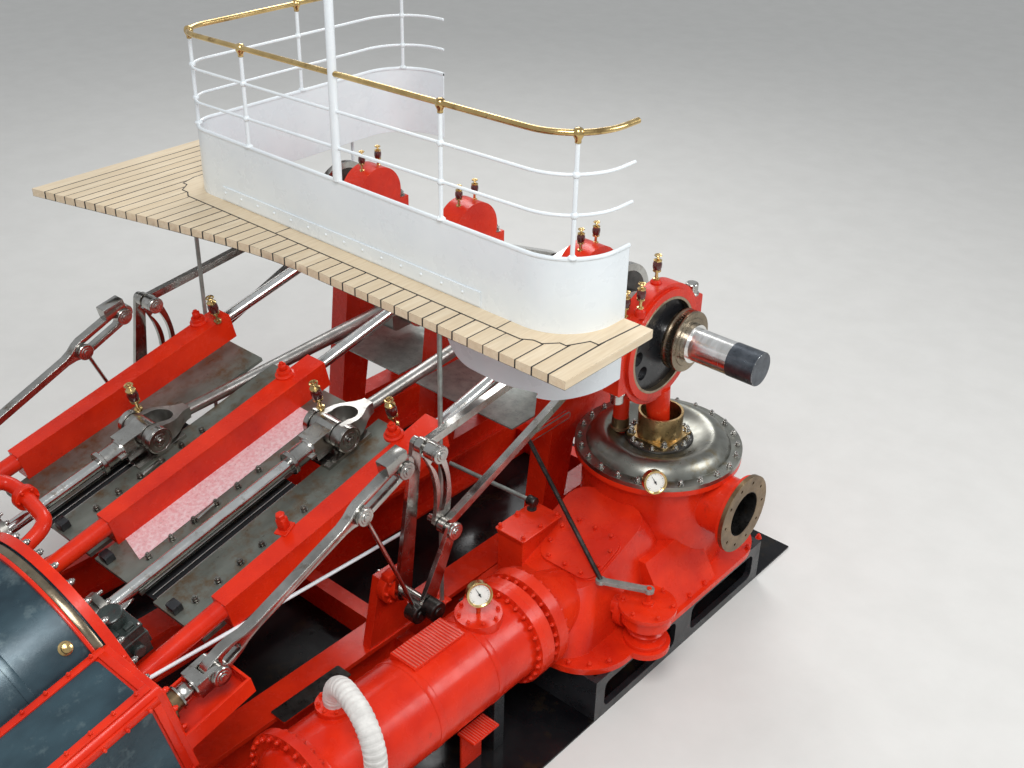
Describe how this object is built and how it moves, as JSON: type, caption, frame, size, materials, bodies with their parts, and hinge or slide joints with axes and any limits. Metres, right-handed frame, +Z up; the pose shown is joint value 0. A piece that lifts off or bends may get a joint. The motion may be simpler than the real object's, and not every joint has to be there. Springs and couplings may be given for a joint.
{
  "type": "paddle steamer engine",
  "caption": "Inclined compound paddle steamer engine on floor girders, with jet condenser, air pump and a railed section of deck above the crank well.",
  "frame": {"origin": "on the floor under the middle main bearing, on the line of the crankshaft", "axes": "+X along the crankshaft to the free end that is shown, +Y from the cylinders to the crankshaft, +Z up"},
  "size_m": [4.413, 5.6, 3.73],
  "materials": {
    "black_paint": "satin",
    "blue_cladding": "satin",
    "brass": "polished",
    "bright_steel": "polished",
    "bronze": "satin",
    "guide_grey": "satin",
    "pine_planks": "satin",
    "red_enamel": "gloss",
    "white_paint": "gloss"
  },
  "bodies": {
    "root": {"bearing_caps": "red_enamel", "bed_frame": "red_enamel", "coaming": "white_paint", "condenser_casting": "red_enamel", "condenser_saddles": "black_paint", "condenser_shell": "red_enamel", "crankshaft": "bright_steel", "cylinder_feet": "black_paint", "deck_frame": "white_paint", "deck_planking": "pine_planks", "drip_tray": "black_paint", "gauges": "brass", "guide_beams": "red_enamel", "guide_plates": "guide_grey", "handrail": "brass", "high_connecting_rod": "bright_steel", "high_crosshead": "bright_steel", "high_cylinder": "blue_cladding", "high_gland": "bright_steel", "high_piston_rod": "bright_steel", "injection_lever": "bright_steel", "injection_valve": "red_enamel", "lagged_pipe": "white_paint", "left_eccentric_rods": "bright_steel", "left_gear_link": "bright_steel", "left_gear_sheaves": "bright_steel", "left_radius_rod": "bright_steel", "left_rocker": "bright_steel", "left_valve_chest": "red_enamel", "left_valve_spindle": "bright_steel", "low_connecting_rod": "bright_steel", "low_crosshead": "bright_steel", "low_cylinder": "blue_cladding", "low_gland": "bright_steel", "low_piston_rod": "bright_steel", "lubricator": "black_paint", "nozzle_flange": "bronze", "pedestals": "red_enamel", "plinth": "black_paint", "pump_barrel": "red_enamel", "pump_cover": "bright_steel", "pump_sheave": "bright_steel", "pump_strap": "red_enamel", "pump_trunk": "brass", "rails": "white_paint", "relief_pipe": "red_enamel", "right_eccentric_rods": "bright_steel", "right_gear_link": "bright_steel", "right_gear_sheaves": "bright_steel", "right_radius_rod": "bright_steel", "right_rocker": "bright_steel", "right_valve_chest": "red_enamel", "right_valve_spindle": "bright_steel", "rocker_brackets": "red_enamel", "spindle_trays": "red_enamel", "splash_plates": "guide_grey", "step_plates": "red_enamel", "strap_lining": "bronze", "tie_rods": "bright_steel"}
  },
  "joints": []
}
